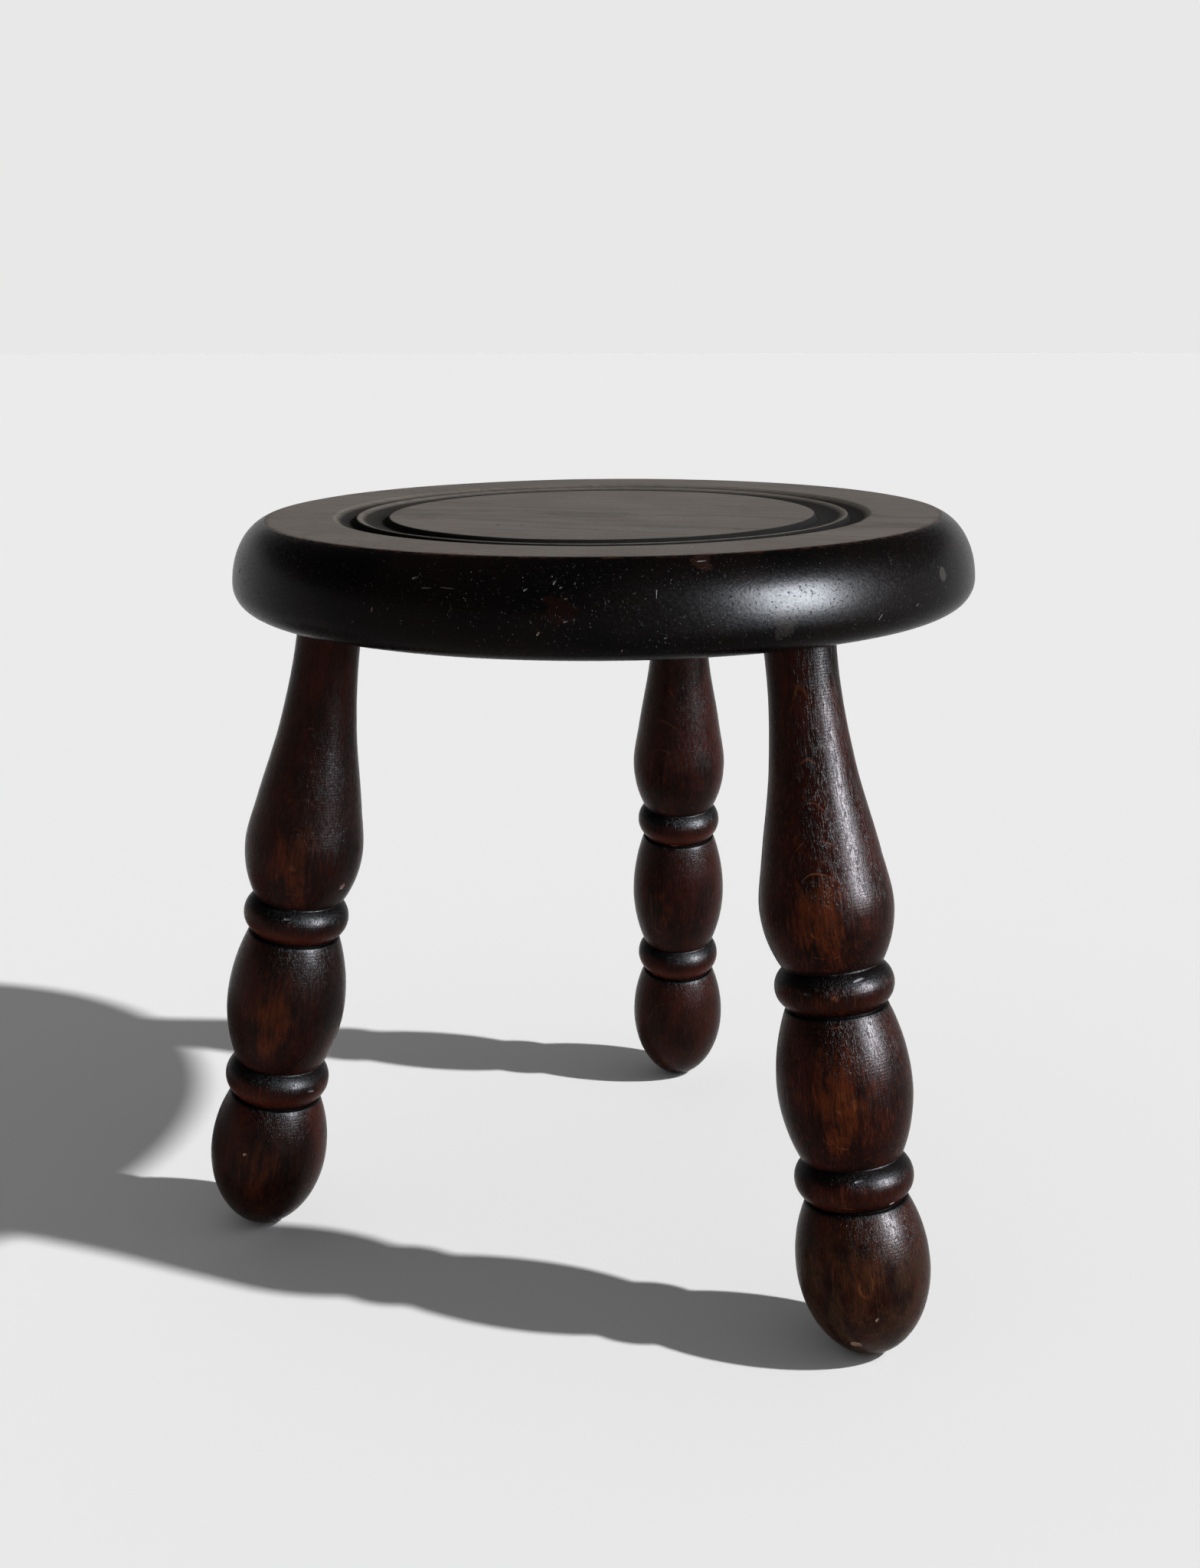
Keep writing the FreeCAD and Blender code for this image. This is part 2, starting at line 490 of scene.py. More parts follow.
legFinish = {
    "stain": tint(15, 4, 2),
    "warm": tint(50, 15, 7),
    "glow": tint(106, 48, 19),
    "worn": tint(58, 40, 26),
    "fibre": tint(98, 50, 30),
    "line": tint(132, 78, 46),
    "pore": tint(9, 4, 3),
    # near black, for the dirt and painted shade about the rings and in the seat's grooves
    "dirtAndShade": tint(4, 3, 3),
    "rubbedRing": tint(84, 34, 20),
    # how strongly each lies over the stain
    "fibreShare": 0.4,
    "lineShare": 0.55,
    "fleckShare": 0.35,
    "poreShare": 0.75,
    "dirtAndShadeShare": 0.92,
    # yearly layers: their width, and how far off the pith lies, in mm
    "layer": 2.3,
    "pithDepth": 90.0,
    "glowWidth": (21.5, 28),
    # bands at each ring: how far below the ring's top, and how far they reach, in mm; the dark ones are
    # dirt with painted shade, the wide haze painted shade only
    "dirtAndShadeAbove": (2.6, 6.2),
    "dirtAndShadeBelow": (16.8, 2.4),
    "bulgeShade": (8.0, 24.0),
    "ringFoot": (12.0, 5.0),
    "wornFoot": (205, 240),
    "relief": 0.1,
    "smoothest": 0.2,
    "roughest": 0.33,
}


def ringBand(drop, band):
    # the same band round both rings
    below, width = band
    first, second = [drop.bump(ringTop + below, width) for ringTop in legForm["ringTops"]]
    return first.atLeast(second)


def legWood(name, place, look):
    finish = legFinish
    bench = Bench(name)
    spot = bench.place(place.to_translation(), place.to_euler())
    x, y, z = bench.split(spot)
    drop = 0 - z

    # the layers' edges show as arcs down the face of each bulge
    wander = bench.noise(spot, (0.03, 0.03, 0.008)) * 5
    layer = woodLayers(bench, spot, (finish["pithDepth"], 0, 0), (1, 1, 0), finish["layer"], wander)
    lineBreaks = bench.noise(spot, (0.16, 0.16, 0.16)).ramp(0.46, 0.6)
    growthLine = (layer - 0.5).size().ramp(0.455, 0.495) * lineBreaks
    growthLine = growthLine * y.bump(0, 13) * drop.ramp(10, 80, 0.35, 1)

    blotch = bench.noise(spot, (0.06, 0.06, 0.03), 4.0, 0.6).ramp(0.38, 0.66)
    streak = bench.noise(spot, (0.8, 0.8, 0.03), 3.0, 0.6).ramp(0.3, 0.7)
    patchy = bench.noise(spot, (0.14, 0.14, 0.08), 4.0, 0.62)
    wriggle = bench.noise(spot, (0.35, 0.35, 0.12)) - 0.5
    pores = bench.noise(spot, (1.7, 1.7, 0.14), 4.0, 0.62, 0.6) + wriggle * 0.3
    poreMask = pores.ramp(0.54, 0.64)
    crack = bench.noise(spot, (1.9, 1.9, 0.16), 3.0, 0.6, 0.4).ramp(0.55, 0.66)
    fleck = bench.noise(spot, (2.4, 2.4, 0.3)).ramp(0.66, 0.74)
    fibre = bench.noise(spot, (1.5, 1.5, 0.09), 3.0, 0.55, 0.3).ramp(0.5, 0.68)
    fibre = fibre * drop.ramp(20, 90, 0.3, 1) * patchy.ramp(0.35, 0.65)
    glowMask = (x.size() + (patchy - 0.5) * 14 + (streak - 0.5) * 3).ramp(*finish["glowWidth"])
    footWear = drop.ramp(*finish["wornFoot"]) * patchy.ramp(0.3, 0.6)

    # old wax and dirt above and below the rings, with painted shade in the quirks and a faint haze of
    # painted shade over the bulges' ends, rubbed off their lower edges
    dirtAndShade = ringBand(drop, finish["dirtAndShadeAbove"]).atLeast(ringBand(drop, finish["dirtAndShadeBelow"]))
    dirtAndShade = dirtAndShade.atLeast(ringBand(drop, finish["bulgeShade"]) * 0.3)
    dirtAndShadeEdge = bench.noise(spot, (0.3, 0.3, 0.5), 3.0, 0.6) - 0.5
    dirtAndShadeMask = (dirtAndShade + dirtAndShadeEdge * 0.8).ramp(0.25, 0.95)
    ringFoot = ringBand(drop, finish["ringFoot"])

    grain = look["grain"]
    colour = bench.blend(blotch * 0.7 + streak * 0.3, finish["stain"], finish["warm"])
    colour = bench.blend(glowMask * look["glow"], colour, finish["glow"])
    colour = bench.blend(footWear * look["worn"], colour, finish["worn"])
    colour = bench.blend(fibre * (finish["fibreShare"] * grain), colour, finish["fibre"])
    colour = bench.blend(growthLine * (finish["lineShare"] * grain), colour, finish["line"])
    colour = bench.blend(fleck * (finish["fleckShare"] * grain), colour, finish["line"])
    colour = bench.blend(poreMask.atLeast(crack) * (finish["poreShare"] * grain), colour, finish["pore"])
    # the bands about the rings darkened with dirt and painted shade
    colour = bench.blend(dirtAndShadeMask * finish["dirtAndShadeShare"], colour, finish["dirtAndShade"])
    colour = bench.blend(ringFoot * look["ringFoot"], colour, finish["rubbedRing"])

    crackle = bench.noise(spot, (1.5, 1.5, 0.3), 3.0, 0.55, 0.6)
    grit = bench.noise(spot, (2.4, 2.4, 1.7), 3.0, 0.55)
    wrinkle = bench.noise(spot, (0.45, 0.45, 2.1))
    toolMarks = (drop * 5.2 + crackle * 2.2).sine() * 0.5 + 0.5
    height = crackle * 0.3 + grit * 0.45 + wrinkle * 0.4 + toolMarks * 0.08
    height = height - poreMask * 0.3 - crack * 0.35
    roughness = crackle.ramp(0.3, 0.7, finish["smoothest"], finish["roughest"])
    roughness = roughness + dirtAndShadeMask * 0.08 + poreMask * 0.1
    normal = bench.relief(height, finish["relief"])
    return bench.finish({"Base Color": colour, "Roughness": roughness, "Normal": normal,
                         "Specular IOR Level": look["gloss"]})


seatFinish = {
    "side": tint(5, 4, 4),
    "sideWarm": tint(14, 8, 7),
    # the top's pale greys are partly its own worn colour and partly a painted sheen standing in for its
    # grazing reflection
    "top": tint(118, 112, 105),
    "topDark": tint(99, 93, 87),
    "pore": tint(26, 21, 18),
    "worn": tint(74, 48, 37),
    # near black, for the dirt and painted shade in the grooves
    "dirtAndShade": tint(3, 3, 3),
    "filler": tint(88, 84, 80),
    "rubbed": tint(62, 57, 54),
    "red": tint(58, 22, 16),
    "growthShare": 0.22,
    "poreShare": 0.6,
    "wearShare": 0.7,
    "dirtAndShadeShare": 0.95,
    "layer": 3.4,
    "pith": (0, 22, -205),
    "topEdge": 136.2,
    "relief": 0.1,
    "smoothest": 0.25,
    "roughest": 0.31,
    "gloss": 0.03,
}

# patches in the seat's side: where, how large, how ragged, of what, and how strong
seatMarks = (
    ((144.5, -35.1, 290.7), 5.4, 0.5, "filler", 0.4),
    ((104.0, -108.0, 282.7), 9.5, 1.1, "rubbed", 0.35),
    ((76.8, -117.2, 304.1), 7.0, 1.1, "worn", 0.2),
    ((36.0, -145.0, 290.0), 10.0, 1.4, "red", 0.14),
)


def grooveDirtAndShade(reach, drop):
    # dirt and painted shade, thickest on the steep walls and in the floors of the two grooves
    disc = seatForm["disc"][0]
    ridge = seatForm["ridge"][0]
    groove = seatForm["groove"]
    discWall = reach.ramp(disc - 1.0, disc - 0.4) * reach.ramp(disc + 1.4, disc + 3.0, 1, 0)
    ridgeWall = reach.ramp(ridge - 0.7, ridge - 0.1) * reach.ramp(ridge + 1.6, ridge + 2.8, 1, 0)
    innerFloor = drop.ramp(0.65, 1.6) * 0.92
    outerFloor = reach.ramp(ridge + 0.5, ridge + 1.0) * reach.ramp(groove - 3.5, groove - 0.2, 1, 0) * 0.9
    dirt = innerFloor.atLeast(outerFloor).atLeast(discWall).atLeast(ridgeWall)
    return dirt * reach.ramp(groove - 1.2, groove + 0.2, 1, 0)


def seatWood(name):
    finish = seatFinish
    bench = Bench(name)
    spot = bench.place()
    drop = seatForm["height"] - bench.split(spot)[2]
    reach = bench.length(bench.vector("MULTIPLY", spot, (1, 1, 0)))
    nearTop = drop.ramp(7, 11, 1, 0)
    edge = finish["topEdge"]

    # flat-sawn: the grain runs along X
    wander = bench.noise(spot, (0.006, 0.02, 0.02), 3.0) * 14
    layer = woodLayers(bench, spot, finish["pith"], (0, 1, 1), finish["layer"], wander)
    growth = (layer - 0.5).size().ramp(0.3, 0.5)
    streak = bench.noise(spot, (0.02, 0.55, 0.55), 4.0, 0.6)
    poreMask = bench.noise(spot, (0.14, 1.9, 1.9), 3.0, 0.6).ramp(0.58, 0.72)
    blotch = bench.noise(spot, (0.018, 0.026, 0.03), 4.0, 0.6).ramp(0.36, 0.66)

    # the top's pale colours: worn wood with a painted sheen of grazing reflection
    onTop = reach.ramp(edge - 0.8, edge + 0.6, 1, 0) * nearTop
    side = bench.blend(blotch, finish["side"], finish["sideWarm"])
    top = bench.blend(streak * 0.6 + blotch * 0.4, finish["topDark"], finish["top"])
    top = bench.blend(growth * finish["growthShare"], top, finish["sideWarm"])
    colour = bench.blend(onTop, side, top)
    colour = bench.blend(poreMask * finish["poreShare"], colour, finish["pore"])
    rub = bench.noise(spot, (0.2, 0.2, 0.2), 3.0, 0.6).ramp(0.45, 0.65)
    edgeWear = reach.bump(edge, 2.2) * drop.ramp(2, 6, 1, 0) * rub
    colour = bench.blend(edgeWear * finish["wearShare"], colour, finish["worn"])
    uneven = bench.noise(spot, (0.3, 0.3, 0.3), 3.0, 0.65) - 0.5
    for centre, size, ragged, patch, share in seatMarks:
        away = bench.vector("DISTANCE", spot, centre, output=1)
        mark = (away + uneven * size * ragged).ramp(size * 0.42, size * 0.56, 1, 0)
        colour = bench.blend(mark * share, colour, finish[patch])
    # the grooves darkened with dirt and painted shade
    inGroove = grooveDirtAndShade(reach, drop) * nearTop
    colour = bench.blend(inGroove * finish["dirtAndShadeShare"], colour, finish["dirtAndShade"])

    dimple = bench.noise(spot, (0.7, 0.9, 0.9), 3.0, 0.55)
    pits = bench.noise(spot, (0.9, 0.9, 0.9)).ramp(0.64, 0.72)
    height = dimple * 0.45 - poreMask * 0.15 - pits * 1.5
    roughness = dimple.ramp(0.3, 0.7, finish["smoothest"], finish["roughest"])
    roughness = roughness + onTop * 0.3 + poreMask * 0.1 + inGroove * 0.4
    normal = bench.relief(height, finish["relief"])
    return bench.finish({"Base Color": colour, "Roughness": roughness, "Normal": normal,
                         "Specular IOR Level": finish["gloss"]})


def bareWood(name, light, dark, roughness):
    # split or rubbed fibres, for the hollows of nicks and for hidden surfaces
    bench = Bench(name)
    fibres = bench.noise(bench.place(), (0.5, 2.4, 2.4), 3.0, 0.6)
    colour = bench.blend(fibres, dark, light)
    normal = bench.relief(fibres, 0.1, 0.7)
    return bench.finish({"Base Color": colour, "Roughness": roughness, "Normal": normal,
                         "Specular IOR Level": 0.15})


# Legs

legForm = {
    "neck": ((13.65, 0.0), (13.3, -16.39), (15.97, -50.19), (22.12, -83.98), (24.9, -102.42)),
    "neckFlare": 3.0,
    "vaseEnd": -124.22,
    "bulgeEnd": 19.2,
    "quirk": 18.0,
    "quirkWidth": 0.9,
    "ring": 22.3,
    "ringLength": 15.2,
    "barrel": 25.2,
    "barrelLength": 56.6,
    "barrelShare": 0.53,
    "egg": 25.1,
    "eggTopLength": 24.7,
    "eggBaseLength": 35.0,
    "overrun": 3.0,
    "handwork": (0.3, 26),
    "steps": 112,
    "rows": {"head": 6, "neck": 70, "vase": 20, "ring": 18, "barrel": 22, "egg": 20, "toe": 40},
    "softEdge": 0.34,
    "splay": 8.3,
    "socketCircle": 110.5,
    "underside": 271.0,
    "tenon": 11.0,
    "tenonLength": 22.0,
    "tenonChamfer": 1.5,
    "kerfDepth": 16.0,
    "kerfMouth": 3.2,
    "kerfRoot": 1.0,
    "ringTops": (124.22, 197.82),
}

nearLook = {"glow": 0.6, "worn": 0.6, "gloss": 0.03, "grain": 1.0, "ringFoot": 0.1}
farLook = {"glow": 0.45, "worn": 0.1, "gloss": 0.045, "grain": 0.45, "ringFoot": 0.4}

# Each leg: where it stands round the seat, its side lean, its girth, which way its growth layers face,
# its look, and its nicks: drop from the seat, angle from the layers' face, size, tilt, kind
legs = {
    "right": {
        "angle": 330,
        "lean": 0.6,
        "girth": 1.0,
        "face": -80,
        "look": nearLook,
        "nicks": (
            (264.5, -14, (5.0, 3.6, 0.9), 15, "pale"),
            (252.5, 12, (1.9, 1.1, 0.3), 60, "pale"),
            (127.4, 30, (5.2, 1.5, 0.4), 8, "dark"),
            (130.8, -22, (3.4, 1.2, 0.4), -6, "dark"),
            (201.3, 10, (4.4, 1.3, 0.4), 4, "dark"),
            (212.0, 44, (3.0, 1.4, 0.4), 12, "worn"),
            (84.0, 88, (6.0, 0.8, 0.3), 70, "dark"),
        ),
    },
    "left": {
        "angle": 210,
        "lean": -3.5,
        "girth": 0.98,
        "face": -72,
        "look": farLook,
        "nicks": (
            (113.2, 57, (3.6, 2.6, 0.5), 40, "worn"),
            (233.3, -15, (2.0, 1.3, 0.4), 30, "pale"),
            (128.0, 0, (4.0, 1.3, 0.4), 5, "dark"),
            (205.0, 50, (3.6, 1.2, 0.4), -8, "dark"),
            (262.0, 120, (4.0, 2.4, 0.6), 20, "dark"),
        ),
    },
    "back": {
        "angle": 90,
        "lean": 2.8,
        "girth": 0.88,
        "face": -95,
        "look": farLook,
        "nicks": (
            (140.0, 15, (3.4, 1.2, 0.4), 0, "worn"),
            (213.0, -20, (3.2, 1.2, 0.4), 4, "worn"),
            (170.0, 150, (5.0, 1.2, 0.4), 75, "dark"),
        ),
    },
}


def legPlace(leg):
    # the leg's frame: origin on the underside, Z up the leg, X where its growth layers face
    turn = math.radians(leg["angle"])
    splay = math.radians(legForm["splay"])
    lean = math.radians(leg["lean"])
    outward = Vector((math.cos(turn), math.sin(turn), 0))
    sideways = Vector((-math.sin(turn), math.cos(turn), 0))
    rise = Vector((0, 0, math.cos(splay))) - outward * math.sin(splay) - sideways * math.sin(lean)
    rise.normalize()
    facing = Vector((math.cos(math.radians(leg["face"])), math.sin(math.radians(leg["face"])), 0))
    facing = (facing - rise * facing.dot(rise)).normalized()
    origin = outward * legForm["socketCircle"] * mm + Vector((0, 0, legForm["underside"] * mm))
    return Matrix.Translation(origin) @ Matrix((facing, rise.cross(facing), rise)).transposed().to_4x4()


def bulgePoints(widest, end, count, rising):
    # from the widest point to the bulge's end, or the other way round
    sag = widest[0] - end[0]
    run = end[1] - widest[1]
    radius = (run * run + sag * sag) / (2 * sag)
    swing = math.degrees(math.asin(run / radius))
    first, last = (swing, 0) if rising else (0, swing)
    return arcPoints((widest[0] - radius, widest[1]), radius, radius, first, last, count)


def ringPoints(top, girth):
    form = legForm
    quirk = form["quirk"] * girth
    crown = form["ring"] * girth
    start = top - form["quirkWidth"]
    end = start - form["ringLength"]
    sag = crown - quirk
    half = form["ringLength"] / 2
    radius = (half * half + sag * sag) / (2 * sag)
    swing = math.degrees(math.asin(half / radius))
    middle = (crown - radius, (start + end) / 2)
    return chain([at(quirk, top)],
                 arcPoints(middle, radius, radius, swing, -swing, form["rows"]["ring"]),
                 [at(quirk, end - form["quirkWidth"])])


def legOutline(girth):
    form = legForm
    neck = [(radius * girth, height) for radius, height in form["neck"]]
    vaseEnd = form["vaseEnd"]
    ringRun = form["ringLength"] + 2 * form["quirkWidth"]
    end = form["bulgeEnd"] * girth
    barrelTop = vaseEnd - ringRun
    barrelEnd = barrelTop - form["barrelLength"]
    barrel = (form["barrel"] * girth, barrelTop - form["barrelShare"] * form["barrelLength"])
    eggTop = barrelEnd - ringRun
    egg = (form["egg"] * girth, eggTop - form["eggTopLength"])
    over = form["overrun"]
    rows = form["rows"]
    return chain(
        straightPoints(at(0, over), at(neck[0][0], over), rows["head"]),
        flowPoints(neck, math.tan(math.radians(form["neckFlare"])), 0, rows["neck"]),
        bulgePoints(neck[-1], (end, vaseEnd), rows["vase"], False),
        ringPoints(vaseEnd, girth),
        bulgePoints(barrel, (end, barrelTop), rows["barrel"], True),
        bulgePoints(barrel, (end, barrelEnd), rows["barrel"], False),
        ringPoints(barrelEnd, girth),
        bulgePoints(egg, (end, eggTop), rows["egg"], True),
        arcPoints((0, egg[1]), egg[0], form["eggBaseLength"], 0, -90, rows["toe"]),
    )


def softenLoops(piece, loops, width, segments):
    # bevels the edge loops that run round at these places, given as radius and height
    near = 0.02
    onLoop = {}
    for vertex in piece.data.vertices:
        radius = math.hypot(vertex.co.x, vertex.co.y) / mm
        for number, loop in enumerate(loops):
            if abs(vertex.co.z / mm - loop[1]) < near and abs(radius - loop[0]) < near:
                onLoop[vertex.index] = number

    def runsAlong(edge):
        first, second = [onLoop.get(i, -1) for i in edge.vertices]
        return first == second and first >= 0

    selectParts(piece, "EDGE", runsAlong)
    bpy.ops.mesh.bevel(offset=width * mm, segments=segments, affect="EDGES", clamp_overlap=False)
    objectMode()


def legCorners(girth):
    form = legForm
    end = form["bulgeEnd"] * girth
    quirk = form["quirk"] * girth
    ringRun = form["ringLength"] + 2 * form["quirkWidth"]
    corners = []
    for top in form["ringTops"]:
        corners += [(end, -top), (quirk, -top - form["quirkWidth"]),
                    (quirk, -top - ringRun + form["quirkWidth"]), (end, -top - ringRun)]
    return corners


def roughen(piece, name, handwork):
    # the slight unevenness of hand turning and drying: how much and how long the waves are, in mm
    strength, grain = handwork
    texture = bpy.data.textures.new(name, "CLOUDS")
    texture.noise_scale = grain * mm
    applyModifier(piece, "DISPLACE", texture=texture, strength=strength * mm, mid_level=0.5,
                  texture_coords="LOCAL", direction="NORMAL")


def outlineRadius(outline, height):
    # how far out the outline stands at a height, both in mm
    for start, end in zip(outline, outline[1:]):
        if start.z / mm >= height >= end.z / mm and start.z > end.z:
            share = (start.z / mm - height) / ((start.z - end.z) / mm)
            return (start.x + (end.x - start.x) * share) / mm
    return 0


def legGouges(leg, outline):
    tools = []
    for drop, angle, size, tilt, kind in leg["nicks"]:
        radius = outlineRadius(outline, -drop)
        slope = (outlineRadius(outline, -drop + 0.6) - outlineRadius(outline, -drop - 0.6)) / 1.2
        around = math.radians(angle)
        outward = Vector((math.cos(around), math.sin(around), -slope)).normalized()
        place = Vector((math.cos(around) * radius, math.sin(around) * radius, -drop)) * mm
        along = Vector((-math.sin(around), math.cos(around), 0))
        along.rotate(Matrix.Rotation(math.radians(tilt), 3, outward))
        tools.append(gouge(place, outward, along, size, nickFinish[kind]))
    return tools


def makeLeg(name, leg):
    place = legPlace(leg)
    outline = legOutline(leg["girth"])
    piece = turnOnLathe("leg" + name.capitalize() + "Turned", outline, legForm["steps"])
    softenLoops(piece, legCorners(leg["girth"]), legForm["softEdge"], 3)
    roughen(piece, "legHand" + name.capitalize(), legForm["handwork"])
    wood = legWood("legWood" + name.capitalize(), place, leg["look"])
    piece.data.materials.append(wood)
    carve(piece, legGouges(leg, outline))

    # set in place, and cut level with the underside above and the floor below
    pick(piece)
    piece.matrix_world = place
    bpy.ops.object.transform_apply(location=True, rotation=True, scale=True)
    top = legForm["underside"] * mm
    editMode(piece)
    bpy.ops.mesh.select_all(action="SELECT")
    bpy.ops.mesh.bisect(plane_co=(0, 0, 0), plane_no=(0, 0, 1), use_fill=True, clear_inner=True,
                        threshold=cutWithin)
    bpy.ops.mesh.select_all(action="SELECT")
    bpy.ops.mesh.bisect(plane_co=(0, 0, top), plane_no=(0, 0, 1), use_fill=True, clear_outer=True,
                        threshold=cutWithin)
    # the scribed top is drawn in and up to make the tenon
    selectParts(piece, "FACE", lambda face: face.normal.z > 0.999 and abs(face.center.z - top) < 0.01 * mm)
    neck = legForm["neck"][0][0] * leg["girth"]
    rise = place.to_3x3() @ Vector((0, 0, 1))
    bpy.ops.mesh.inset(thickness=(neck - legForm["tenon"]) * mm, depth=0)
    shank = legForm["tenonLength"] - legForm["tenonChamfer"]
    bpy.ops.mesh.extrude_region_move(TRANSFORM_OT_translate={"value": rise * shank * mm})
    bpy.ops.mesh.extrude_region_move(TRANSFORM_OT_translate={"value": rise * legForm["tenonChamfer"] * mm})
    shrink = 1 - legForm["tenonChamfer"] / legForm["tenon"]
    bpy.ops.transform.resize(value=(shrink, shrink, shrink))
    objectMode()
    carve(piece, [kerfTool(place, wood)])
    finishPiece(piece, "leg_" + name)
    return piece


def kerfTool(place, wood):
    # the tapered saw cut across the tenon's end, square to the seat's grain
    rise = place.to_3x3() @ Vector((0, 0, 1))
    grain = Vector((1, 0, 0))
    across = rise.cross(grain).normalized()
    thick = across.cross(rise).normalized()
    tall = legForm["kerfDepth"] + legForm["overrun"]
    cleanSlate()
    bpy.ops.mesh.primitive_cube_add(size=1)
    tool = bpy.context.object
    taper = (legForm["kerfMouth"] - legForm["kerfRoot"]) / legForm["kerfDepth"]
    run = (legForm["tenon"] + legForm["overrun"]) * 2
    for vertex in tool.data.vertices:
        up = (vertex.co.z + 0.5) * tall
        width = legForm["kerfRoot"] + taper * up
        vertex.co = Vector((vertex.co.x * width, vertex.co.y * run, up)) * mm
    foot = legForm["tenonLength"] - legForm["kerfDepth"]
    turn = Matrix((thick, across, rise)).transposed().to_4x4()
    origin = Matrix.Translation(place.to_translation() + rise * foot * mm)
    tool.data.transform(origin @ turn)
    tool.data.materials.append(wood)
    return tool


def finishPiece(piece, node):
    pick(piece)
    bpy.ops.object.shade_smooth_by_angle(angle=math.radians(smoothBelow))
    cleanSlate()
    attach(piece, root)
    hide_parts(node)


# what shows in the hollow of a nick
nickFinish = {
    "pale": bareWood("nickPale", tint(150, 124, 104), tint(96, 70, 54), 0.75),
    "worn": bareWood("nickWorn", tint(128, 66, 38), tint(74, 32, 18), 0.6),
    "dark": bareWood("nickDark", tint(18, 10, 8), tint(7, 5, 4), 0.6),
    "grey": bareWood("nickGrey", tint(66, 56, 49), tint(36, 28, 24), 0.7),
}

for legName, leg in legs.items():
    makeLeg(legName, leg)
    print("leg", legName, "turned")


# Seat

seatForm = {
    "height": 306.0,
    "radius": 150.0,
    "thickness": 35.0,
    "edgeDepth": 24.5,
    "edgeReach": 17.2,
    "edgeRise": 25.0,
    "groove": 109.0,
    "grooveDepth": 3.0,
    "sag": 0.45,
    "ridge": (100.0, 305.6),
    "disc": (87.0, 305.4),
    "draft": 0.6,
    "lip": 0.9,
    "creaseSoft": 0.9,
    "grooveSoft": 0.35,
    "handwork": (0.3, 70),
    "steps": 288,
    "rows": {"disc": 34, "lip": 5, "wall": 3, "inner": 10, "outer": 8, "rim": 12, "edge": 30, "under": 14,
             "bottom": 40},
    "socket": 11.1,
    "socketDepth": 22.3,
}

# nicks in the edge: angle round the seat, drop below the top, size, tilt from level, kind
edgeNicks = (
    (-96.6, 7.5, (2.7, 0.9, 0.30), 20, "grey"),
    (-94.6, 10.5, (3.9, 0.5, 0.21), 4, "grey"),
    (-91.4, 10.1, (5.4, 0.4, 0.18), -2, "grey"),
    (-80.6, 9.8, (2.0, 0.7, 0.24), 35, "grey"),
    (-76.8, 7.5, (2.2, 0.8, 0.30), 60, "grey"),
    (-75.9, 9.0, (1.5, 0.7, 0.24), 20, "grey"),
    (-74.1, 7.7, (1.4, 0.6, 0.21), 80, "grey"),
    (-78.3, 12.6, (1.5, 0.4, 0.18), 30, "dark"),
    (-75.2, 12.5, (1.4, 0.5, 0.18), 10, "grey"),
    (-102.7, 19.1, (2.2, 0.4, 0.18), 85, "pale"),
    (-106.0, 24.1, (1.9, 0.5, 0.18), 40, "grey"),
    (-112.1, 24.9, (2.0, 0.4, 0.18), 25, "dark"),
    (-75.2, 19.9, (2.2, 0.6, 0.18), 15, "grey"),
    (-78.8, 24.1, (1.9, 0.7, 0.30), 55, "pale"),
    (-68.1, 30.1, (1.2, 0.5, 0.24), 75, "pale"),
    (-62.5, 25.8, (1.7, 0.4, 0.18), 20, "grey"),
    (-63.5, 11.4, (3.7, 0.4, 0.15), 84, "dark"),
    (-56.8, 1.9, (3.6, 0.6, 0.18), 3, "grey"),
    (-52.6, 18.2, (1.9, 0.4, 0.15), 12, "dark"),
    (-30.1, 25.3, (3.4, 0.4, 0.15), 50, "grey"),
    (-139.9, 15.8, (2.4, 1.2, 0.42), 70, "dark"),
    (-133.0, 11.0, (1.4, 0.5, 0.24), 30, "dark"),
    (-128.0, 22.0, (2.0, 0.4, 0.18), 15, "grey"),
    (-21.9, 23.6, (2.2, 0.4, 0.15), 25, "dark"),
    (62.0, 13.0, (3.4, 0.6, 0.24), 12, "grey"),
    (118.0, 21.0, (2.2, 0.7, 0.24), 65, "dark"),
    (165.0, 8.0, (2.9, 0.6, 0.18), 8, "grey"),
    (20.0, 17.0, (2.0, 0.4, 0.18), 30, "dark"),
)
# nicks in the top: angle, radius, size, direction, kind
topNicks = (
    (-30.0, 78.8, (4.2, 0.9, 0.35), 10, "dark"),
    (-116.8, 55.9, (2.2, 1.4, 0.3), 40, "dark"),
    (-108.9, 50.1, (2.0, 1.0, 0.3), 15, "dark"),
    (40.0, 62.0, (5.0, 0.8, 0.3), 60, "dark"),
    (150.0, 121.0, (3.0, 1.2, 0.35), 30, "dark"),
    (-55.0, 118.0, (2.0, 0.9, 0.3), 50, "dark"),
)


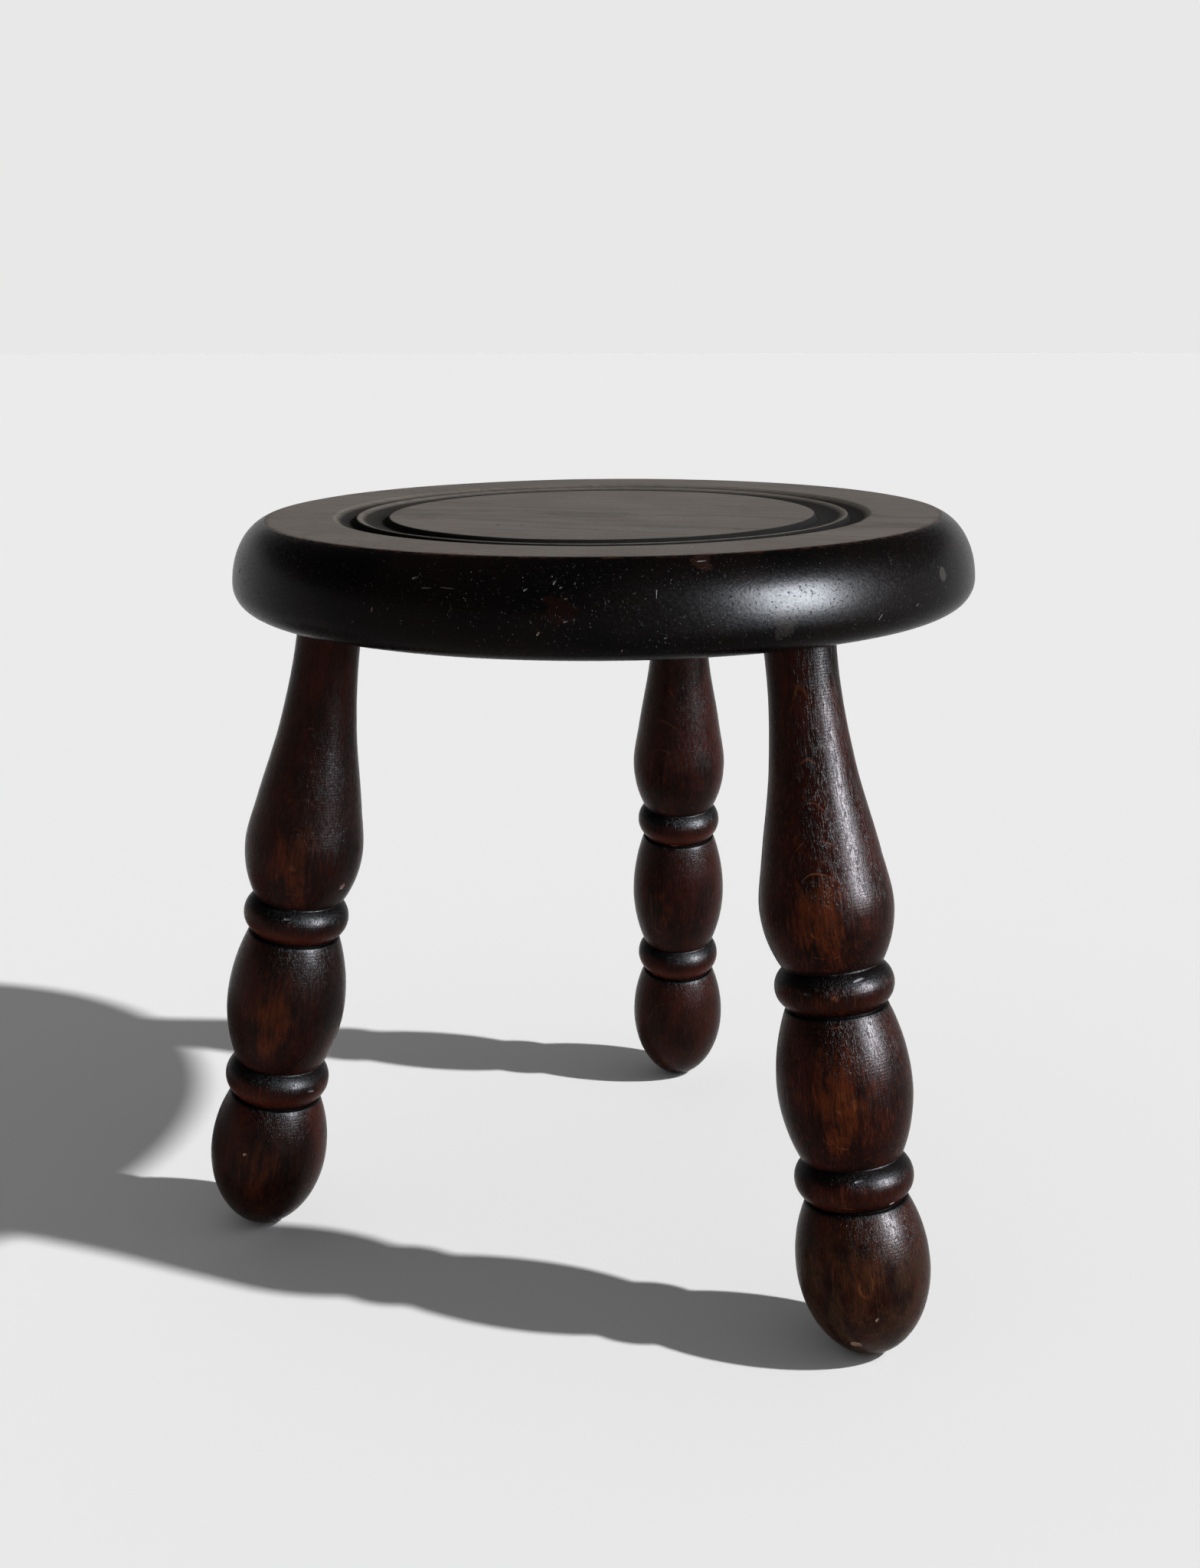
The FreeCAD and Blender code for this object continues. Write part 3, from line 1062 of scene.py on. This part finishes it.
def seatOutline():
    form = seatForm
    lip = form["lip"]
    grooveFloor = form["height"] - form["grooveDepth"]
    widest = form["height"] - form["edgeDepth"]
    hub = (form["radius"] - form["edgeReach"], widest)
    creaseTurn = math.acos(form["edgeDepth"] / form["edgeRise"])
    crease = at(hub[0] + form["edgeReach"] * math.sin(creaseTurn), form["height"])
    under = form["thickness"] - form["edgeDepth"]
    discOut, discTop = form["disc"]
    ridgeOut, ridgeTop = form["ridge"]
    discFoot = at(discOut + form["draft"], grooveFloor)
    ridgeFoot = at(ridgeOut + form["draft"], grooveFloor)
    grooveEdge = at(form["groove"], form["height"])
    rows = form["rows"]
    return chain(
        straightPoints(at(0, discTop), at(discOut - lip, discTop), rows["disc"]),
        arcPoints((discOut - lip, discTop - lip), lip, lip, 90, 0, rows["lip"]),
        straightPoints(at(discOut, discTop - lip), discFoot, rows["wall"]),
        sagPoints(discFoot, at(ridgeOut - lip, ridgeTop), form["sag"], rows["inner"]),
        arcPoints((ridgeOut - lip, ridgeTop - lip), lip, lip, 90, 0, rows["lip"]),
        straightPoints(at(ridgeOut, ridgeTop - lip), ridgeFoot, rows["wall"]),
        sagPoints(ridgeFoot, grooveEdge, form["sag"], rows["outer"]),
        straightPoints(grooveEdge, crease, rows["rim"]),
        arcPoints(hub, form["edgeReach"], form["edgeRise"], 90 - math.degrees(creaseTurn), 0, rows["edge"]),
        arcPoints((form["radius"] - under, widest), under, under, 0, -90, rows["under"]),
        straightPoints(at(form["radius"] - under, widest - under), at(0, widest - under), rows["bottom"]),
    )


def seatCorners():
    form = seatForm
    grooveFloor = form["height"] - form["grooveDepth"]
    creaseTurn = math.acos(form["edgeDepth"] / form["edgeRise"])
    crease = form["radius"] - form["edgeReach"] + form["edgeReach"] * math.sin(creaseTurn)
    inGrooves = [
        (form["groove"], form["height"]),
        (form["disc"][0] + form["draft"], grooveFloor),
        (form["ridge"][0] + form["draft"], grooveFloor),
    ]
    return ([(crease, form["height"])], form["creaseSoft"]), (inGrooves, form["grooveSoft"])


def seatGouges():
    form = seatForm
    widest = form["height"] - form["edgeDepth"]
    tools = []
    for angle, drop, size, tilt, kind in edgeNicks:
        height = form["height"] - drop
        up = height - widest
        if up >= 0:
            share = up / form["edgeRise"]
            radius = form["radius"] - form["edgeReach"] + form["edgeReach"] * math.sqrt(1 - share * share)
            slope = (share / form["edgeRise"], math.sqrt(1 - share * share) / form["edgeReach"])
        else:
            under = form["thickness"] - form["edgeDepth"]
            share = up / under
            radius = form["radius"] - under + under * math.sqrt(1 - share * share)
            slope = (share, math.sqrt(1 - share * share))
        around = math.radians(angle)
        outward = Vector((math.cos(around) * slope[1], math.sin(around) * slope[1], slope[0])).normalized()
        place = Vector((math.cos(around) * radius, math.sin(around) * radius, height)) * mm
        along = Vector((-math.sin(around), math.cos(around), 0))
        along.rotate(Matrix.Rotation(math.radians(tilt), 3, outward))
        tools.append(gouge(place, outward, along, size, nickFinish[kind]))
    for angle, radius, size, tilt, kind in topNicks:
        top = form["disc"][1] if radius < form["disc"][0] else form["height"]
        around = math.radians(angle)
        place = Vector((math.cos(around) * radius, math.sin(around) * radius, top)) * mm
        along = Vector((math.cos(math.radians(tilt)), math.sin(math.radians(tilt)), 0))
        tools.append(gouge(place, Vector((0, 0, 1)), along, size, nickFinish[kind]))
    return tools


def socketTool(leg, wood):
    place = legPlace(leg)
    tall = seatForm["socketDepth"] + legForm["overrun"]
    cleanSlate()
    bpy.ops.mesh.primitive_cylinder_add(vertices=64, radius=seatForm["socket"] * mm, depth=tall * mm)
    tool = bpy.context.object
    lift = Matrix.Translation((0, 0, (tall / 2 - legForm["overrun"]) * mm))
    tool.data.transform(place @ lift)
    tool.data.materials.append(wood)
    return tool


def makeSeat():
    piece = turnOnLathe("seatTurned", seatOutline(), seatForm["steps"])
    for loops, width in seatCorners():
        softenLoops(piece, loops, width, 4)
    roughen(piece, "seatHand", seatForm["handwork"])
    wood = seatWood("seatWood")
    piece.data.materials.append(wood)
    carve(piece, seatGouges() + [socketTool(leg, wood) for leg in legs.values()])
    finishPiece(piece, "seat")


makeSeat()
bpy.data.objects.remove(nickBall)
print("seat turned")


# The hidden wedges stay as model.glb has them

wedgeWood = bareWood("wedgeWood", tint(196, 160, 112), tint(160, 122, 80), 0.7)
for legName in legs:
    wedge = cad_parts["wedge_" + legName]
    for slot in wedge.material_slots:
        slot.material = wedgeWood

# the turned parts' own nodes are hidden behind the pieces that stand for them, and share their finish
for node, finish in (("seat", "seatWood"), ("leg_left", "legWoodLeft"), ("leg_right", "legWoodRight"),
                     ("leg_back", "legWoodBack")):
    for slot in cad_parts[node].material_slots:
        slot.material = bpy.data.materials[finish]
